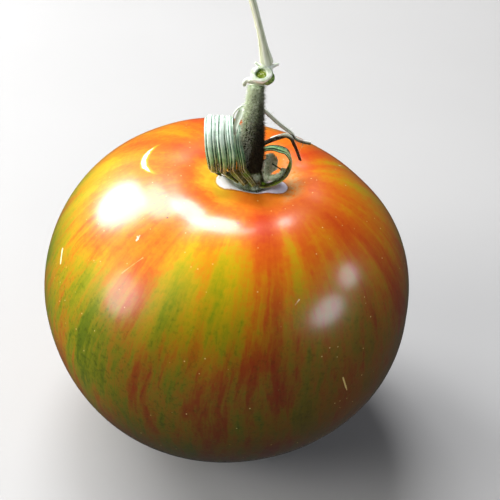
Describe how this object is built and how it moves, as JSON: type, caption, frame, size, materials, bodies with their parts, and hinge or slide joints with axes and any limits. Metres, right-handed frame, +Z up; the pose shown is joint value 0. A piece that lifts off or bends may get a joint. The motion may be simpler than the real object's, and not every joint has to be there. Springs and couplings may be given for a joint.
{
  "type": "tomato",
  "caption": "Round striped heirloom tomato with its dried calyx of curled sepals, hairy stem and a piece of truss stalk, resting on a small flat spot.",
  "frame": {"origin": "centre of the small flat spot on the underside that the fruit rests on", "axes": "+Z up towards the stem, -Y the front that the picture shows, +X the side with the ring-shaped sepal"},
  "size_m": [0.0929, 0.0922, 0.1253],
  "materials": {
    "fruit_skin": "glossy smooth skin with orange, red, olive and green streaks",
    "stem_green": "hairy green stem, matte",
    "knuckle_green": "pale green, cut pith, matte",
    "stalk_pale": "dry ridged stalk, matte",
    "sepal_green": "downy ridged sepal, matte",
    "sepal_dry": "withered sepal, matte"
  },
  "bodies": {
    "root": {"fruit": "fruit_skin", "pedicel": "stem_green", "knuckle": "knuckle_green", "stalk": "stalk_pale", "sepal_coil_1": "sepal_green", "sepal_coil_2": "sepal_green", "sepal_coil_3": "sepal_green", "sepal_coil_4": "sepal_green", "sepal_ring": "sepal_green", "sepal_inner": "sepal_green", "sepal_dry_bent": "sepal_dry", "sepal_dry_long": "sepal_dry", "sepal_dry_left": "sepal_dry"}
  },
  "joints": []
}
